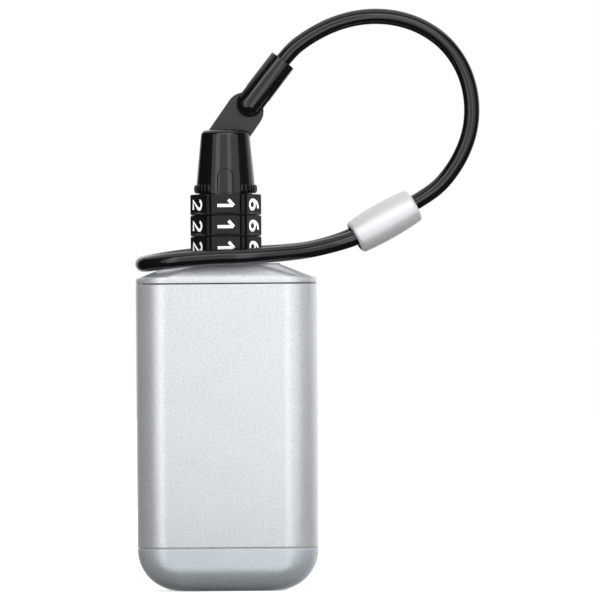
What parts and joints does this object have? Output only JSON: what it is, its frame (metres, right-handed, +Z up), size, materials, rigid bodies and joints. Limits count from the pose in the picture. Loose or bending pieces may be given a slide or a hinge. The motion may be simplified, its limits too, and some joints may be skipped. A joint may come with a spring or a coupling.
{
  "type": "portable car safe",
  "caption": "Flat silver key case with rounded ends, a number-dial lock post on its lid, and a black cable loop that swings on a link and closes in an eye round the post.",
  "frame": {"origin": "middle of the flat bottom face that the safe stands on", "axes": "+Z up along the post, the number side faces -Y, and the cable loop lies towards +X"},
  "size_m": [0.1146, 0.0351, 0.1925],
  "materials": {
    "silver_paint": "satin",
    "gloss_black": "gloss",
    "satin_black": "satin",
    "dial_black": "satin",
    "digit_white": "satin",
    "vinyl_black": "gloss",
    "tray_plastic": "matte",
    "seal_rubber": "matte",
    "ferrule_alloy": "satin",
    "cast_zinc": "matte",
    "wheel_brass": "satin",
    "plain_steel": "satin",
    "spring_steel": "satin"
  },
  "bodies": {
    "case": {"shell_sleeve": "silver_paint", "bottom_cap": "silver_paint", "cap_screw_left": "plain_steel", "cap_screw_right": "plain_steel"},
    "lid": {"lid": "silver_paint", "lid_seal": "seal_rubber", "key_tray": "tray_plastic", "tray_screw_left": "plain_steel", "tray_screw_right": "plain_steel", "latch_spring": "spring_steel", "latch_rivet": "plain_steel", "lock_core": "cast_zinc", "core_screw_left": "plain_steel", "core_screw_right": "plain_steel", "click_spring": "spring_steel", "base_ring": "tray_plastic", "stack_washer": "plain_steel", "retaining_ring": "spring_steel"},
    "dial_1": {"dial_ring_1": "dial_black", "code_wheel_1": "wheel_brass"},
    "dial_2": {"dial_ring_2": "dial_black", "code_wheel_2": "wheel_brass"},
    "dial_3": {"dial_ring_3": "dial_black", "code_wheel_3": "wheel_brass"},
    "plug": {"plug_head": "gloss_black", "spindle": "plain_steel", "spindle_pin": "plain_steel", "pivot_pin": "plain_steel", "ferrule": "ferrule_alloy", "cable": "vinyl_black"},
    "link": {"link_plate": "satin_black", "cable_terminal": "gloss_black", "terminal_rivet": "satin_black"}
  },
  "joints": [
    {"name": "lid_lift", "type": "slide", "parent": "case", "child": "lid", "axis": [0, 0, 1], "range_m": [0, 0.088], "deforming": ["latch_spring"]},
    {"name": "dial_1_turn", "type": "hinge", "parent": "lid", "child": "dial_1", "pos_m": [0, 0, 0.1277], "axis": [0, 0, 1], "continuous": true, "deforming": ["click_spring"]},
    {"name": "dial_2_turn", "type": "hinge", "parent": "lid", "child": "dial_2", "pos_m": [0, 0, 0.1207], "axis": [0, 0, 1], "continuous": true, "deforming": ["click_spring"]},
    {"name": "dial_3_turn", "type": "hinge", "parent": "lid", "child": "dial_3", "pos_m": [0, 0, 0.1137], "axis": [0, 0, 1], "continuous": true, "deforming": ["click_spring"]},
    {"name": "plug_lift", "type": "slide", "parent": "lid", "child": "plug", "axis": [0, 0, 1], "range_m": [0, 0.042]},
    {"name": "link_swing", "type": "hinge", "parent": "plug", "child": "link", "pos_m": [0, 0, 0.1495], "axis": [0, 1, 0], "range_deg": [-35, 20], "deforming": ["cable"]}
  ]
}
